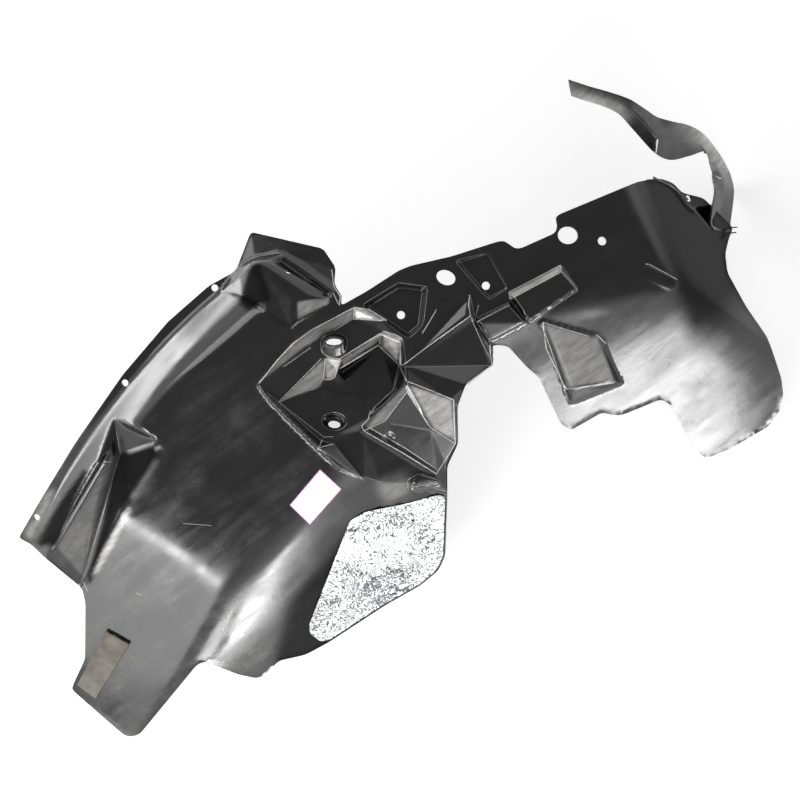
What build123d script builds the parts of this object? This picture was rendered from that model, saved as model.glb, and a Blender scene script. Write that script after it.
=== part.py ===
from build123d import *
import os

# Front wheel arch liner, one moulding of black plastic, lying on its rim with
# the body side up. X runs along the span of the arch, Y points outboard to the
# wheel opening, Z is up from the floor, and the origin is on the floor.
# All lengths are in millimetres.

wall = 3.0
arch_rise = 232.0
arch_radius = 830.0
crown_x = 60.0
lobe_split_x = 40.0

flange_drop = 52.0
riser_slope = 1.25
rim_far_x = -60.0
rim_far_y = 226.0
rim_radius = 780.0
rim_stations = (-470.0, -330.0, -215.0, -115.0, -30.0)

pad_depth = 11.0
foil_gauge = 0.8
foam_gauge = 6.0
label_gauge = 0.4

floor_margin = 60.0
crown_margin = 30.0
half_depth = 450.0
shell_reach = floor_margin + arch_rise + crown_margin

# flat panels of the lobes: a point on each one, and its rise along X and along Y
panel_point = {
    "foot": (-285, 10, 137), "belly": (-285, 10, 137), "foil": (-128, -71, 150),
    "lower": (-276, -91, 100), "wheel": (222, -87, 169.5), "side": (375, -120, 110),
}
panel_rise = {
    "foot": (0.54, 0.16), "belly": (0.38, 0.11), "foil": (0.257, 0.869),
    "lower": (0.25, 1.1), "wheel": (0.185, 0.886), "side": (-1.6, 0.3),
}
front_panels = ("foot", "belly", "foil", "lower")
rear_panels = ("wheel", "side")


def arch(x, drop=0.0):
    """Height of the crown of the arch at a station along the span."""
    run = x - crown_x
    return arch_rise - drop - arch_radius + (arch_radius ** 2 - run ** 2) ** 0.5


def rim_line(x):
    """Y of the fold between the flange and the riser of the left lobe."""
    return rim_far_y - (x - rim_far_x) ** 2 / (2 * rim_radius)


def panel(name):
    """The plane of a flat panel of one of the lobes."""
    rise_x, rise_y = panel_rise[name]
    return Plane(origin=panel_point[name], z_dir=(-rise_x, -rise_y, 1.0))


def panel_height(name, x, y):
    at_x, at_y, height = panel_point[name]
    rise_x, rise_y = panel_rise[name]
    return height + rise_x * (x - at_x) + rise_y * (y - at_y)


def skin(x, y):
    """Height of the plain shell over a plan point."""
    if x >= lobe_split_x:
        return min(arch(x), *(panel_height(name, x, y) for name in rear_panels))
    flange = arch(x, flange_drop)
    riser = flange + riser_slope * (rim_line(x) - y)
    crown = max(min(arch(x), riser), flange)
    return min(crown, *(panel_height(name, x, y) for name in front_panels))


def riser_panels():
    """Planes of the riser between the flange and the crown, one per rim chord."""
    planes = []
    for start, end in zip(rim_stations, rim_stations[1:]):
        low = Vector(start, rim_line(start), arch(start, flange_drop))
        along = Vector(end, rim_line(end), arch(end, flange_drop)) - low
        normal = along.cross(Vector(0, 1, -riser_slope))
        planes.append(Plane(origin=low, z_dir=normal if normal.Z > 0 else -normal))
    return planes


def sunk(plane, inset):
    return Plane(origin=plane.origin - plane.z_dir * inset, z_dir=plane.z_dir)


def crown_body(inset, drop=0.0):
    """The solid under the arched crown, cut off below the floor."""
    with BuildPart() as body:
        with Locations((crown_x, 0, arch_rise - drop - arch_radius)):
            Cylinder(arch_radius - inset, 2 * half_depth, rotation=(90, 0, 0))
        split(bisect_by=Plane.XY.offset(-floor_margin), keep=Keep.TOP)
    return body.part


def under(solid, planes, inset):
    with BuildPart() as body:
        add(solid)
        for plane in planes:
            split(bisect_by=sunk(plane, inset), keep=Keep.BOTTOM)
    return body.part


def plug(inset=0.0):
    """The solid under the whole shell, its surface sunk by an inset."""
    split_plane = Plane(origin=(lobe_split_x, 0, 0), z_dir=(1, 0, 0))
    with BuildPart() as body:
        add(under(crown_body(inset), riser_panels(), inset))
        add(crown_body(inset, flange_drop))
        split(bisect_by=split_plane, keep=Keep.BOTTOM)
        for name in front_panels:
            split(bisect_by=sunk(panel(name), inset), keep=Keep.BOTTOM)
        right = under(crown_body(inset), [panel(name) for name in rear_panels], inset)
        add(right.split(split_plane, keep=Keep.TOP))
    return body.part


def prism(points):
    """An upright prism over a plan outline, from under the floor to over the crown."""
    face = Face(Wire.make_polygon([(x, y, -floor_margin) for x, y in points]))
    return Solid.extrude(face, Vector(0, 0, shell_reach))


def layer(outline, gauge):
    """A sheet laid on the outside of the shell inside a plan outline."""
    with BuildPart() as sheet:
        add(plug(-gauge))
        add(plug(), mode=Mode.SUBTRACT)
        add(prism(outline), mode=Mode.INTERSECT)
    return sheet.part


plan_outline = [
    (-445, 134), (-425, 55), (-433, 39), (-476, -12), (-509, -28), (-512, -31), (-497, -110),
    (-492, -117), (-482, -121), (-375, -97), (-365, -100), (-346, -136), (-332, -154),
    (-322, -156), (-299, -153), (-270, -167), (-240, -172), (-163, -178), (-114, -185),
    (-87, -184), (-70, -175), (-24, -119), (-4, -93), (22, -80), (47, -46), (70, -32),
    (109, -33), (119, -17), (123, -17), (134, -27), (137, -60), (141, -77), (129, -136),
    (134, -149), (175, -155), (184, -166), (192, -172), (238, -185), (244, -198), (236, -261),
    (241, -275), (269, -283), (320, -290), (341, -284), (356, -271), (365, -254), (380, -204),
    (382, -161), (389, -117), (401, -99), (416, -88), (430, -81), (422, -32), (404, -12),
    (402, 4), (393, 16), (378, 24), (368, 29), (271, 55), (266, 54), (262, 45), (255, 41),
    (214, 51), (208, 55), (204, 69), (198, 73), (146, 92), (103, 112), (89, 116), (45, 120),
    (13, 125), (21, 136), (22, 149), (35, 163), (37, 189), (-16, 255), (-56, 231),
    (-92, 237), (-154, 234), (-233, 219), (-327, 192), (-402, 166), (-452, 148),
]

# strut relief: plan place of each corner and its depth under the crown
corner = {
    "a0": (-116, 113, 20), "a1": (-71, 126, 11), "a2": (-32, 126, 6), "a3": (23, 114, 1),
    "a4": (42, 81, 0), "c1": (-43, 109, 13), "c2": (-5, 106, 10), "c3": (15, 104, 9),
    "c4": (32, 72, 6), "c5": (45, 54, 1), "d0": (-109, 83, 28), "d1": (-37, 91, 18),
    "d2": (-24, 76, 16), "e1": (-51, 73, 29), "e2": (-64, 67, 34), "e3": (-36, 69, 26),
    "p1": (-34, 66, 42), "p2": (19, 62, 40), "p3": (24, 31, 42), "p5": (-1, 11, 32),
    "p6": (-31, 30, 36), "p7": (-37, 52, 34), "q2": (-40, 7, 26), "r1": (-56, -1, 36),
    "r2": (-28, -10, 34), "r3": (13, 2, 16), "r4": (16, 11, 6), "g1": (46, -35, 32),
    "g2": (22, -81, 76), "g3": (7, -48, 56), "t1": (-4, -94, 84), "t2": (-21, -95, 82),
    "l1": (-100, 22, 32), "l2": (-83, 15, 34), "l3": (-104, 16, 26), "l4": (-89, 8, 38),
    "s0": (-116, 84, 19), "s1": (-108, 20, 19), "m1": (-107, 12, 20), "m2": (-88, -43, 48),
    "m3": (-101, -21, 32), "m4": (-74, -63, 61), "m5": (-53, -81, 71),
    "w1": (-24, -120, 96), "n0": (28, 27, 8), "n1": (51, 47, 1), "n2": (98, 59, -1),
    "n3": (136, 45, 2), "n4": (118, 28, -4), "n5": (105, -34, 27), "n6": (110, -34, 32),
    "n7": (119, -17, 14), "n8": (70, -33, 36), "n9": (47, -47, 42), "n11": (120, 19, 1),
}

facets = [
    "a0 a1 c1", "a1 a2 c1", "c1 a2 c2", "a2 a3 c2", "c2 a3 c3", "a3 a4 c3", "c3 a4 c4",
    "a4 c5 c4", "d0 a0 c1 d1", "c1 c2 d1", "c2 d2 d1", "c2 c3 d2", "c3 c4 d2", "d0 d1 e1",
    "d0 e1 e2", "d1 d2 e3", "d1 e3 e1", "d2 c4 p2", "d2 p2 p1", "d2 p1 e3", "c4 c5 p3",
    "c4 p3 p2", "c5 n0 p3", "n0 r4 p3", "p2 p3 p5", "p2 p5 p6", "p2 p6 p7", "p2 p7 p1",
    "p3 r4 p5", "e3 p1 p7", "e1 e3 p7", "e1 p7 e2", "e2 p7 p6", "e2 p6 q2", "p6 p5 q2",
    "p5 r4 q2", "q2 r4 r3", "q2 r3 r2", "q2 r2 r1", "e2 q2 l2", "q2 r1 l2", "e2 l2 l1",
    "e2 l1 d0", "l1 l2 l4", "l1 l4 l3", "a0 d0 s0", "s0 d0 l1", "s0 l1 s1", "s1 l1 l3",
    "s1 l3 m1", "l3 l4 m1", "m1 l4 m2", "m1 m2 m3", "l4 l2 r1", "l4 r1 m2", "m2 r1 m4",
    "m4 r1 m5", "r1 t2 m5", "m5 t2 w1", "r1 r2 t2", "r2 g3 t2", "g3 t1 t2", "g3 g2 t1",
    "t2 t1 w1", "r3 r2 g3", "g3 r3 r4", "g3 r4 g1", "g3 g1 g2", "n0 n5 n8", "n0 n8 g1",
    "n0 g1 r4", "g1 n8 n9", "g1 n9 g2", "n0 n4 n11", "n0 n11 n5", "n11 n7 n6", "n11 n6 n5",
    "n0 n1 n2", "n0 n2 n3", "n0 n3 n4", "n3 n11 n4", "n0 c5 n1",
]
cluster_rim = (
    "a0 a1 a2 a3 a4 c5 n1 n2 n3 n11 n7 n6 n5 n8 n9 g2 t1 w1 m5 m4 m2 m3 m1 s1 s0"
)

# other reliefs: plan place of each corner and its rise over the plain shell
relief_corner = {
    "o1": (-56, 231, 18), "o2": (-16, 255, 13), "o3": (37, 189, -13), "o4": (35, 163, -19),
    "o5": (22, 149, -9), "o6": (21, 136, -2), "f0": (-63, 231, 0), "b0": (-85, 223, 0),
    "r1": (-54, 223, 27), "r2": (-38, 225, 47), "b1": (-32, 222, 47), "b2": (-24, 166, 7),
    "c1": (-22, 215, 33), "c2": (-9, 155, 4), "d1": (-9, 207, 7), "d2": (10, 144, -7),
    "h1": (-3, 208, 14), "h2": (14, 144, -1), "b3": (10, 138, -1), "b6": (-69, 201, 0),
    "b7": (-58, 170, 0), "b8": (-48, 140, 0), "b9": (-39, 141, 0), "b10": (4, 134, 0),
    "q1": (-31, 228, 22), "q2": (-1, 213, 12),
    "k1": (-272, 186, 0), "k2": (-248, 135, -1), "k3": (-293, 150, -34), "k4": (-297, 161, -16),
    "k5": (-427, 59, -3), "k6": (-440, 108, -2), "k7": (-314, 100, 0), "k8": (-333, 96, 0),
    "k9": (-319, 157, 0),
    "s1": (182, -30, 0), "s2": (203, -62, 1), "s3": (223, -79, 2), "s4": (207, -135, 20),
    "s5": (162, -114, 24), "s6": (179, -32, 0), "s7": (152, -123, 0), "s8": (156, -127, 0),
    "s9": (213, -143, 0), "s10": (226, -95, 0),
    "u1": (172, 20, 0), "u2": (237, 9, 0), "u3": (233, 2, 8), "u4": (169, 13, 8),
    "u5": (235, -24, 0), "u6": (171, -20, 0), "u7": (168, 18, 0),
    "v1": (124, 14, 5), "v2": (163, 7, 5), "v3": (166, -18, 0), "v4": (122, -10, 0),
    "v5": (165, 11, 0), "v6": (125, 19, 0),
    "t1": (406, -34, 0), "t2": (424, -44, 0), "t3": (407, -66, 0), "t4": (412, -48, -45),
}
boss = (
    "b0 f0 o1 o2 o3 o4 o5 o6 b10 b9 b8 b7 b6",
    [
        "b0 f0 r1", "f0 o1 r1", "o1 r2 r1", "o1 q1 r2", "r2 q1 b1", "b1 q1 q2 h1 d1",
        "o1 o2 q1", "q1 o2 q2", "o2 o3 q2", "q2 o3 o4 o5", "h1 q2 o5 h2", "d1 h1 h2 d2",
        "b1 c1 c2 b2", "b1 d1 c1", "c1 d1 d2 c2", "b2 c2 b3", "c2 d2 b3", "d2 h2 b3",
        "h2 o5 o6", "h2 o6 b3", "b3 o6 b10", "b2 b3 b10 b9", "b2 b9 b8", "b1 b2 b8 b7 r2",
        "r2 b7 b6 r1", "r1 b6 b0",
    ],
)
flange_pocket = (
    "k1 k2 k7 k8 k5 k6 k9",
    ["k1 k2 k3 k4", "k4 k3 k5 k6", "k3 k2 k7 k8 k5", "k1 k4 k9", "k9 k4 k6"],
)
scoop = (
    "s1 s2 s3 s10 s9 s8 s7 s6",
    ["s1 s2 s3 s4 s5", "s1 s5 s7 s6", "s5 s4 s9 s8 s7", "s3 s10 s9 s4"],
)
upper_bar = ("u1 u2 u5 u6 u7", ["u1 u2 u3 u4", "u4 u3 u5 u6", "u2 u5 u3", "u1 u4 u6 u7"])
lower_bar = ("v6 v5 v3 v4", ["v6 v5 v2 v1", "v1 v2 v3 v4", "v5 v3 v2", "v6 v1 v4"])
bracket_pocket = ("t1 t2 t3", ["t1 t2 t4", "t2 t3 t4", "t3 t1 t4"])


def plate(points, thickness=wall):
    """Flat facets fanned from the first corner, with the wall under them."""
    parts = []
    for second, third in zip(points[1:], points[2:]):
        face = Face(Wire.make_polygon([points[0], second, third]))
        parts.append(Solid.extrude(face, Vector(0, 0, -thickness)))
    return parts


# free end of the flange, station by station from its tip round to the bracket
strip_outer = [
    (376, 170, 175), (390, 149, 176), (405, 129, 170), (418, 109, 166), (426, 89, 155),
    (432, 74, 143), (445, 57, 134), (457, 43, 122), (465, 25, 104), (468, -1, 70),
    (468, -20, 38), (466, -34, 14), (458, -50, 3), (432, -74, 30), (424, -82, 44),
]
strip_fold = [
    (371, 161, 176), (384, 144, 177), (397, 126, 173), (409, 106, 169), (415, 83, 160),
    (418, 56, 146), (431, 46, 132), (441, 34, 120), (453, 22, 106), (456, 1, 80),
    (457, -16, 52), (454, -31, 32), (445, -45, 26), (424, -62, 44), (416, -76, 57),
]
strip_inner = [
    (367, 153, 174), (377, 138, 171), (388, 123, 164), (398, 104, 157), (401, 78, 146),
    (405, 44, 130), (416, 26, 108), (437, 16, 100), (455, 9, 86), (452, -4, 64),
    (450, -12, 48), (447, -21, 40), (439, -36, 44), (412, -58, 70), (408, -68, 75),
]


def strip_plates():
    """The free end of the flange, two bands that meet in a fold."""
    bands = []
    for edge, middle in ((strip_outer, strip_fold), (strip_fold, strip_inner)):
        for start, end, near, far in zip(edge, edge[1:], middle, middle[1:]):
            bands += plate([start, end, far])
            bands += plate([start, far, near])
    return bands


def relief_plates(corners, names):
    """The flat facets of a relief, each named by its corners."""
    plates = []
    for facet in names:
        plates += plate([corners[name] for name in facet.split()])
    return plates


def grown(points, margin):
    """A plan outline moved outwards by a margin, with its corners kept sharp."""
    with BuildSketch() as region:
        with BuildLine():
            Polyline(*points, close=True)
        make_face()
        offset(amount=margin, kind=Kind.INTERSECTION)
    return region.sketch.faces()[0]


def column(face, low):
    """A plan face drawn up from a height to over the crown."""
    return Solid.extrude(face.moved(Location((0, 0, low))), Vector(0, 0, arch_rise + crown_margin - low))


def pad_walls(points):
    """The floor and side walls of a flat fastener pad sunk in the neck."""
    with BuildPart() as block:
        add(column(grown(points, wall), arch_rise - pad_depth - wall))
        add(plug(), mode=Mode.INTERSECT)
    return block.part


def slanted_hole(x, y, long_half, short_half, turn):
    """A hole through a slanted wall, an ellipse in plan."""
    with BuildSketch() as mouth:
        with Locations(Location((x, y, 0), (0, 0, turn))):
            Ellipse(long_half, short_half)
    return column(mouth.sketch.faces()[0], -floor_margin)


pad_outlines = (
    [(35, 107), (79, 102), (99, 82), (69, 52), (52, 52)],
    [(147, 84), (181, 70), (174, 24), (150, 28)],
)
clip_holes = (
    (-88, 231, 4.0), (-237, 210, 4.0), (-419, 153, 4.0), (60, 75, 4.6), (156, 42, 4.6),
    (292, 1, 5.0), (407, -22, 4.0),
)
slanted_holes = (
    (-10, 192, 4.2, 1.9, -56), (126, 77, 11.0, 8.2, -58), (265, 30, 11.5, 10.0, -38),
    (-76, 24, 6.9, 4.0, -44), (-18, 98, 11.3, 5.6, -36),
)

shell_corner = {name: (x, y, arch_rise - depth) for name, (x, y, depth) in corner.items()}
skin_corner = {name: (x, y, skin(x, y) + rise) for name, (x, y, rise) in relief_corner.items()}
reliefs = [(shell_corner, cluster_rim, facets)]
for rim, names in (boss, flange_pocket, scoop, upper_bar, lower_bar, bracket_pocket):
    reliefs.append((skin_corner, rim, names))

with BuildPart() as liner_shell:
    add(plug())
    add(plug(wall), mode=Mode.SUBTRACT)
    add(prism(plan_outline), mode=Mode.INTERSECT)
    for points in pad_outlines:
        add(pad_walls(points))
        add(column(grown(points, 0), arch_rise - pad_depth), mode=Mode.SUBTRACT)
    plates = strip_plates()
    for corners, rim, names in reliefs:
        add(prism([corners[name][:2] for name in rim.split()]), mode=Mode.SUBTRACT)
        plates += relief_plates(corners, names)
    add(plates)
    for x, y, radius in clip_holes:
        with Locations((x, y, -floor_margin)):
            Cylinder(radius, shell_reach, align=(Align.CENTER, Align.CENTER, Align.MIN), mode=Mode.SUBTRACT)
    for hole in slanted_holes:
        add(slanted_hole(*hole), mode=Mode.SUBTRACT)

foil_outline = [
    (-32, -113), (-68, -98), (-109, -77), (-131, -74), (-144, -82), (-244, -141), (-250, -150),
    (-247, -165), (-238, -170), (-163, -176), (-114, -183), (-89, -182), (-73, -174),
    (-28, -120),
]
foam_outline = [(-435, -1), (-423, -30), (-496, -56), (-503, -30)]
label_outline = [(-120, -6), (-115, -39), (-169, -49), (-173, -17)]

with BuildPart() as heat_shield_foil:
    add(layer(foil_outline, foil_gauge))

with BuildPart() as foam_pad:
    add(layer(foam_outline, foam_gauge))

with BuildPart() as paper_label:
    add(layer(label_outline, label_gauge))

stand = liner_shell.part.bounding_box()
centre_x = (stand.min.X + stand.max.X) / 2
centre_y = (stand.min.Y + stand.max.Y) / 2
footprint = Location((-centre_x, -centre_y, -stand.min.Z))

os.makedirs("parts", exist_ok=True)
for piece, name in (
    (liner_shell, "liner_shell"), (heat_shield_foil, "heat_shield_foil"),
    (foam_pad, "foam_pad"), (paper_label, "paper_label"),
):
    placed = piece.part.moved(footprint)
    placed.label = name
    export_step(placed, f"parts/{name}.step")

print("shell volume", round(liner_shell.part.volume))
print("shell centre", liner_shell.part.center(CenterOf.MASS), "stand", stand)
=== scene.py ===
import bpy
import bmesh
import math
import numpy as np
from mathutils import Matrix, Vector, geometry


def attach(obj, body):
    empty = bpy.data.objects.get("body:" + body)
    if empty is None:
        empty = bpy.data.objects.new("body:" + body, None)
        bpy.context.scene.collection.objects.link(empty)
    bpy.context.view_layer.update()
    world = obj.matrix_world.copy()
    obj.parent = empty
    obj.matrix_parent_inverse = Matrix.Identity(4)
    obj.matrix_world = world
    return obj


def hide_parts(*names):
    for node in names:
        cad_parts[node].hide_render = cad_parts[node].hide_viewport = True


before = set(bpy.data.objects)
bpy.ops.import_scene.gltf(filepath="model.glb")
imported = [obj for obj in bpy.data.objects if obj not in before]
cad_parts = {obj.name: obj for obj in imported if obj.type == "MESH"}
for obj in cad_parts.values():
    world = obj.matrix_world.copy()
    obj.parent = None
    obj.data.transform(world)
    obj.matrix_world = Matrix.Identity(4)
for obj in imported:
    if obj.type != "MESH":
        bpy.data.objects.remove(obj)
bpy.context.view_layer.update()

mm = 0.001
# the plan is drawn in mm from the point under the camera, and this moves it onto the CAD frame
planShift = (22.0, 17.5, 0.72)
random = np.random.default_rng(7)

# outline of the whole moulding, seen from above
planOutline = [
    (-445, 134), (-425, 55), (-433, 39), (-476, -12), (-509, -28), (-512, -31), (-497, -110),
    (-492, -117), (-482, -121), (-375, -97), (-365, -100), (-346, -136), (-332, -154),
    (-322, -156), (-299, -153), (-270, -167), (-240, -172), (-163, -178), (-114, -185),
    (-87, -184), (-70, -175), (-24, -119), (-4, -93), (22, -80), (47, -46), (70, -32),
    (109, -33), (119, -17), (123, -17), (134, -27), (137, -60), (141, -77), (129, -136),
    (134, -149), (175, -155), (184, -166), (192, -172), (238, -185), (244, -198), (236, -261),
    (241, -275), (269, -283), (320, -290), (341, -284), (356, -271), (365, -254), (380, -204),
    (382, -161), (389, -117), (401, -99), (416, -88), (430, -81), (422, -32), (404, -12),
    (402, 4), (393, 16), (378, 24), (368, 29), (271, 55), (266, 54), (262, 45), (255, 41),
    (214, 51), (208, 55), (204, 69), (198, 73), (146, 92), (103, 112), (89, 116), (45, 120),
    (13, 125), (21, 136), (22, 149), (35, 163), (37, 189), (-16, 255), (-56, 231),
    (-92, 237), (-154, 234), (-233, 219), (-327, 192), (-402, 166), (-452, 148),
]

# corners of the faceted cluster: plan place and depth under the crown
corner = {
    "a0": (-116, 113, 20), "a1": (-71, 126, 11), "a2": (-32, 126, 6), "a3": (23, 114, 1),
    "a4": (42, 81, 0), "c1": (-43, 109, 13), "c2": (-5, 106, 10), "c3": (15, 104, 9),
    "c4": (32, 72, 6), "c5": (45, 54, 1), "d0": (-109, 83, 28), "d1": (-37, 91, 18),
    "d2": (-24, 76, 16), "e1": (-51, 73, 29), "e2": (-64, 67, 34), "e3": (-36, 69, 26),
    "p1": (-34, 66, 42), "p2": (19, 62, 40), "p3": (24, 31, 42), "p5": (-1, 11, 32),
    "p6": (-31, 30, 36), "p7": (-37, 52, 34), "q2": (-40, 7, 26), "r1": (-56, -1, 36),
    "r2": (-28, -10, 34), "r3": (13, 2, 16), "r4": (16, 11, 6), "g1": (46, -35, 32),
    "g2": (22, -81, 76), "g3": (7, -48, 56), "t1": (-4, -94, 84), "t2": (-21, -95, 82),
    "l1": (-100, 22, 32), "l2": (-83, 15, 34), "l3": (-104, 16, 26), "l4": (-89, 8, 38),
    "s0": (-116, 84, 19), "s1": (-108, 20, 19), "m1": (-107, 12, 20), "m2": (-88, -43, 48),
    "m3": (-101, -21, 32), "m4": (-74, -63, 61), "m5": (-53, -81, 71),
    "w1": (-24, -120, 96), "n0": (28, 27, 8), "n1": (51, 47, 1), "n2": (98, 59, -1),
    "n3": (136, 45, 2), "n4": (118, 28, -4), "n5": (105, -34, 27), "n6": (110, -34, 32),
    "n7": (119, -17, 14), "n8": (70, -33, 36), "n9": (47, -47, 42), "n11": (120, 19, 1),
}

# the cluster's flat facets, each a fan round its first corner
facets = [
    "a0 a1 c1", "a1 a2 c1", "c1 a2 c2", "a2 a3 c2", "c2 a3 c3", "a3 a4 c3", "c3 a4 c4",
    "a4 c5 c4", "d0 a0 c1 d1", "c1 c2 d1", "c2 d2 d1", "c2 c3 d2", "c3 c4 d2", "d0 d1 e1",
    "d0 e1 e2", "d1 d2 e3", "d1 e3 e1", "d2 c4 p2", "d2 p2 p1", "d2 p1 e3", "c4 c5 p3",
    "c4 p3 p2", "c5 n0 p3", "n0 r4 p3", "p2 p3 p5", "p2 p5 p6", "p2 p6 p7", "p2 p7 p1",
    "p3 r4 p5", "e3 p1 p7", "e1 e3 p7", "e1 p7 e2", "e2 p7 p6", "e2 p6 q2", "p6 p5 q2",
    "p5 r4 q2", "q2 r4 r3", "q2 r3 r2", "q2 r2 r1", "e2 q2 l2", "q2 r1 l2", "e2 l2 l1",
    "e2 l1 d0", "l1 l2 l4", "l1 l4 l3", "a0 d0 s0", "s0 d0 l1", "s0 l1 s1", "s1 l1 l3",
    "s1 l3 m1", "l3 l4 m1", "m1 l4 m2", "m1 m2 m3", "l4 l2 r1", "l4 r1 m2", "m2 r1 m4",
    "m4 r1 m5", "r1 t2 m5", "m5 t2 w1", "r1 r2 t2", "r2 g3 t2", "g3 t1 t2", "g3 g2 t1",
    "t2 t1 w1", "r3 r2 g3", "g3 r3 r4", "g3 r4 g1", "g3 g1 g2", "n0 n5 n8", "n0 n8 g1",
    "n0 g1 r4", "g1 n8 n9", "g1 n9 g2", "n0 n4 n11", "n0 n11 n5", "n11 n7 n6", "n11 n6 n5",
    "n0 n1 n2", "n0 n2 n3", "n0 n3 n4", "n3 n11 n4", "n0 c5 n1",
]

# corners of the other reliefs: plan place and rise over the shell there
reliefCorner = {
    "o1": (-56, 231, 18), "o2": (-16, 255, 13), "o3": (37, 189, -13), "o4": (35, 163, -19),
    "o5": (22, 149, -9), "o6": (21, 136, -2), "f0": (-63, 231, 0), "b0": (-85, 223, 0),
    "r1": (-54, 223, 29), "r2": (-38, 225, 57), "b1": (-32, 222, 54), "b2": (-24, 166, 7.5),
    "c1": (-22, 215, 40), "c2": (-9, 155, 4.5), "d1": (-9, 207, 7), "d2": (10, 144, -7),
    "h1": (-3, 208, 14), "h2": (14, 144, -1), "b3": (10, 138, -1), "b6": (-69, 201, -2),
    "b7": (-58, 170, -2.5), "b8": (-48, 140, -2.5), "b9": (-39, 141, -3), "b10": (4, 134, 0),
    "q1": (-31, 228, 22), "q2": (-1, 213, 12),
    "k1": (-272, 186, 0), "k2": (-248, 135, -1), "k3": (-293, 150, -34), "k4": (-297, 161, -16),
    "k5": (-427, 59, -3), "k6": (-440, 108, -2), "k7": (-314, 100, 0), "k8": (-333, 96, 0),
    "k9": (-319, 157, 0),
    "s1": (182, -30, 0), "s2": (203, -62, 1), "s3": (223, -79, 2), "s4": (207, -135, 20),
    "s5": (162, -114, 24), "s6": (179, -32, 0), "s7": (152, -123, 0), "s8": (156, -127, 0),
    "s9": (213, -143, 0), "s10": (226, -95, 0),
    "u1": (172, 20, 0), "u2": (237, 9, 0), "u3": (233, 2, 8), "u4": (169, 13, 8),
    "u5": (235, -24, 0), "u6": (171, -20, 0), "u7": (168, 18, 0),
    "v1": (124, 14, 5), "v2": (163, 7, 5), "v3": (166, -18, 0), "v4": (122, -10, 0),
    "v5": (165, 11, 0), "v6": (125, 19, 0),
    "t1": (406, -34, 0), "t2": (424, -44, 0), "t3": (407, -66, 0), "t4": (412, -48, -45),
}

# facets of those reliefs
boss = [
    "b0 f0 r1", "f0 o1 r1", "o1 r2 r1", "o1 q1 r2", "r2 q1 b1", "b1 q1 q2 h1 d1",
    "o1 o2 q1", "q1 o2 q2", "o2 o3 q2", "q2 o3 o4 o5", "h1 q2 o5 h2", "d1 h1 h2 d2",
    "b1 c1 c2 b2", "b1 d1 c1", "c1 d1 d2 c2", "b2 c2 b3", "c2 d2 b3", "d2 h2 b3",
    "h2 o5 o6", "h2 o6 b3", "b3 o6 b10", "b2 b3 b10 b9", "b2 b9 b8", "b1 b2 b8 b7 r2",
    "r2 b7 b6 r1", "r1 b6 b0",
]
pocket = ["k1 k2 k3 k4", "k4 k3 k5 k6", "k3 k2 k7 k8 k5", "k1 k4 k9", "k9 k4 k6"]
scoop = ["s1 s2 s3 s4 s5", "s1 s5 s7 s6", "s5 s4 s9 s8 s7", "s3 s10 s9 s4"]
upperBar = ["u1 u2 u3 u4", "u4 u3 u5 u6", "u2 u5 u3", "u1 u4 u6 u7"]
lowerBar = ["v6 v5 v2 v1", "v1 v2 v3 v4", "v5 v3 v2", "v6 v1 v4"]
bracket = ["t1 t2 t4", "t2 t3 t4", "t3 t1 t4"]

# the shell: sizes in mm, and where the material marks begin and end: painted shade in creases and on the
# side panel, and dust with painted sheen on the foot side
shell = {
    "wall": 3.0, "coarse": 4.3, "fine": 1.9, "raster": 1.0, "creaseBlur": 0.85,
    "archRise": 232.0, "archRadius": 830.0, "crownX": 60.0, "lobeSplit": 40.0,
    "flangeDrop": 52.0, "riserSlope": 1.25, "rimX": -60.0, "rimY": 226.0, "rimRadius": 780.0,
    "blends": {"riser": 11.0, "flange": 2.0, "fold": 1.1, "crown": 3.0, "foil": 10.0, "wheel": 12.0,
               "side": 7.0},
    "padDepth": 11.0, "padSlope": 2.2, "bossBlur": 2.0,
    "softSpots": [(-45, 205, 40), (-8, 185, 26), (10, 225, 30), (-285, 150, 40),
                  (-345, 125, 50), (-400, 105, 50), (-90, 190, 34)],
    "waveHeight": 0.22, "waveLength": 20.0, "detailBlur": 1.6, "creaseShadeReach": 2.4, "creaseShadeDepth": 0.5,
    "foldPlace": 305.0, "foldLean": 0.3125, "dustAndSheenEdge": (-45.0, 15.0),
    "sideLean": -0.35, "sideTurn": (345.0, 372.0), "sideEnd": (-190.0, -130.0), "sidePaintedShade": 0.87,
    "low": (-530.0, -305.0), "high": (490.0, 275.0),
}

# flat panels of the shell: point, height there, rise along X, rise along Y
panels = {
    "foot": (-285, 10, 137, 0.54, 0.16),
    "belly": (-285, 10, 133.6, 0.38, 0.11),
    "foil": (-128, -71, 150, 0.257, 0.869),
    "lower": (-276, -91, 100, 0.25, 1.1),
    "wheel": (222, -87, 169.5, 0.185, 0.886),
    "side": (375, -120, 110, -1.6, 0.3),
}

# two sunk pads of the neck
padOutlines = [
    [(35, 107), (79, 102), (99, 82), (69, 52), (52, 52)],
    [(147, 84), (181, 70), (174, 24), (150, 28)],
]

# holes: plan place, long and short half, turn in degrees
holes = [
    (-88, 231, 4.0, 4.0, 0), (-237, 210, 4.0, 4.0, 0), (-419, 153, 4.0, 4.0, 0),
    (60, 75, 4.6, 4.6, 0), (156, 42, 4.6, 4.6, 0), (292, 1, 5.0, 5.0, 0), (407, -22, 4.0, 4.0, 0),
    (-10, 192, 4.2, 1.9, -56), (126, 77, 11.0, 8.2, -58), (265, 30, 11.5, 10.0, -38),
    (-76, 24, 6.9, 4.0, -44), (-18, 98, 11.3, 5.6, -36),
]


def panelHeight(name, x, y):
    atX, atY, height, riseX, riseY = panels[name]
    return height + riseX * (x - atX) + riseY * (y - atY)


def softLow(heights, blend):
    low = np.minimum.reduce(heights)
    return low - blend * np.log(sum(np.exp((low - h) / blend) for h in heights))


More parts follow.
